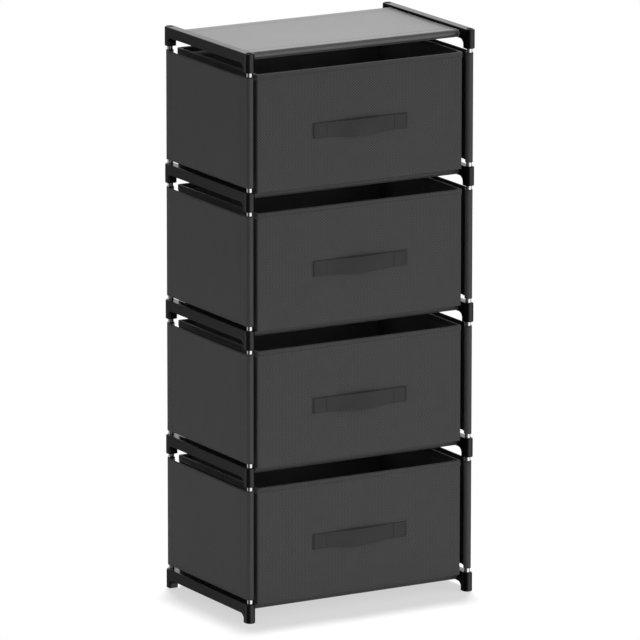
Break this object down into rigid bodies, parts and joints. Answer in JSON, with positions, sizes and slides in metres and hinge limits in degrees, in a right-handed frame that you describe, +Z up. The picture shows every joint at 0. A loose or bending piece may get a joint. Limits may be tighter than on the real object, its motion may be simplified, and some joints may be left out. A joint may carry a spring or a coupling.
{
  "type": "fabric drawer dresser",
  "caption": "Tall narrow dresser of moulded side brackets and steel tubes with sewn cloth shelves and side panels, holding stacked cloth drawers with strap pulls.",
  "frame": {"origin": "centre of the footprint, on the floor; the footprint reaches from the pull straps' front to the rear posts", "axes": "+Z up, the drawers open towards -Y, +X is the viewer's right when facing the front"},
  "size_m": [0.451, 0.2987, 0.9938],
  "materials": {
    "bracket_plastic": "black moulded plastic, satin",
    "steel_tube": "bright plated",
    "frame_cloth": "smooth dark grey non-woven cloth",
    "drawer_cloth": "dark grey cloth with a fine embossed weave",
    "binding_cloth": "dark grey edge tape",
    "strap_webbing": "flat dark grey webbing",
    "stiffener_board": "thin grey board"
  },
  "bodies": {
    "frame": {"foot_bracket_left": "bracket_plastic", "foot_bracket_right": "bracket_plastic", "foot_shelf_rails": "steel_tube", "foot_shelf_cloth": "frame_cloth", "lower_bracket_left": "bracket_plastic", "lower_bracket_right": "bracket_plastic", "lower_shelf_rails": "steel_tube", "lower_shelf_cloth": "frame_cloth", "middle_bracket_left": "bracket_plastic", "middle_bracket_right": "bracket_plastic", "middle_shelf_rails": "steel_tube", "middle_shelf_cloth": "frame_cloth", "upper_bracket_left": "bracket_plastic", "upper_bracket_right": "bracket_plastic", "upper_shelf_rails": "steel_tube", "upper_shelf_cloth": "frame_cloth", "top_bracket_left": "bracket_plastic", "top_bracket_right": "bracket_plastic", "top_shelf_rails": "steel_tube", "top_shelf_cloth": "frame_cloth", "bottom_posts_left": "steel_tube", "bottom_side_panel_left": "frame_cloth", "bottom_posts_right": "steel_tube", "bottom_side_panel_right": "frame_cloth", "lower_posts_left": "steel_tube", "lower_side_panel_left": "frame_cloth", "lower_posts_right": "steel_tube", "lower_side_panel_right": "frame_cloth", "upper_posts_left": "steel_tube", "upper_side_panel_left": "frame_cloth", "upper_posts_right": "steel_tube", "upper_side_panel_right": "frame_cloth", "top_posts_left": "steel_tube", "top_side_panel_left": "frame_cloth", "top_posts_right": "steel_tube", "top_side_panel_right": "frame_cloth"},
    "bottom_drawer": {"bottom_drawer_cover": "drawer_cloth", "bottom_drawer_wall_boards": "stiffener_board", "bottom_drawer_base_board": "stiffener_board", "bottom_drawer_rim_binding": "binding_cloth", "bottom_drawer_pull_strap": "strap_webbing"},
    "lower_drawer": {"lower_drawer_cover": "drawer_cloth", "lower_drawer_wall_boards": "stiffener_board", "lower_drawer_base_board": "stiffener_board", "lower_drawer_rim_binding": "binding_cloth", "lower_drawer_pull_strap": "strap_webbing"},
    "upper_drawer": {"upper_drawer_cover": "drawer_cloth", "upper_drawer_wall_boards": "stiffener_board", "upper_drawer_base_board": "stiffener_board", "upper_drawer_rim_binding": "binding_cloth", "upper_drawer_pull_strap": "strap_webbing"},
    "top_drawer": {"top_drawer_cover": "drawer_cloth", "top_drawer_wall_boards": "stiffener_board", "top_drawer_base_board": "stiffener_board", "top_drawer_rim_binding": "binding_cloth", "top_drawer_pull_strap": "strap_webbing"}
  },
  "joints": [
    {"name": "bottom_drawer_slide", "type": "slide", "parent": "frame", "child": "bottom_drawer", "axis": [0, -1, 0], "range_m": [0, 0.29]},
    {"name": "lower_drawer_slide", "type": "slide", "parent": "frame", "child": "lower_drawer", "axis": [0, -1, 0], "range_m": [0, 0.29]},
    {"name": "upper_drawer_slide", "type": "slide", "parent": "frame", "child": "upper_drawer", "axis": [0, -1, 0], "range_m": [0, 0.29]},
    {"name": "top_drawer_slide", "type": "slide", "parent": "frame", "child": "top_drawer", "axis": [0, -1, 0], "range_m": [0, 0.29]}
  ]
}
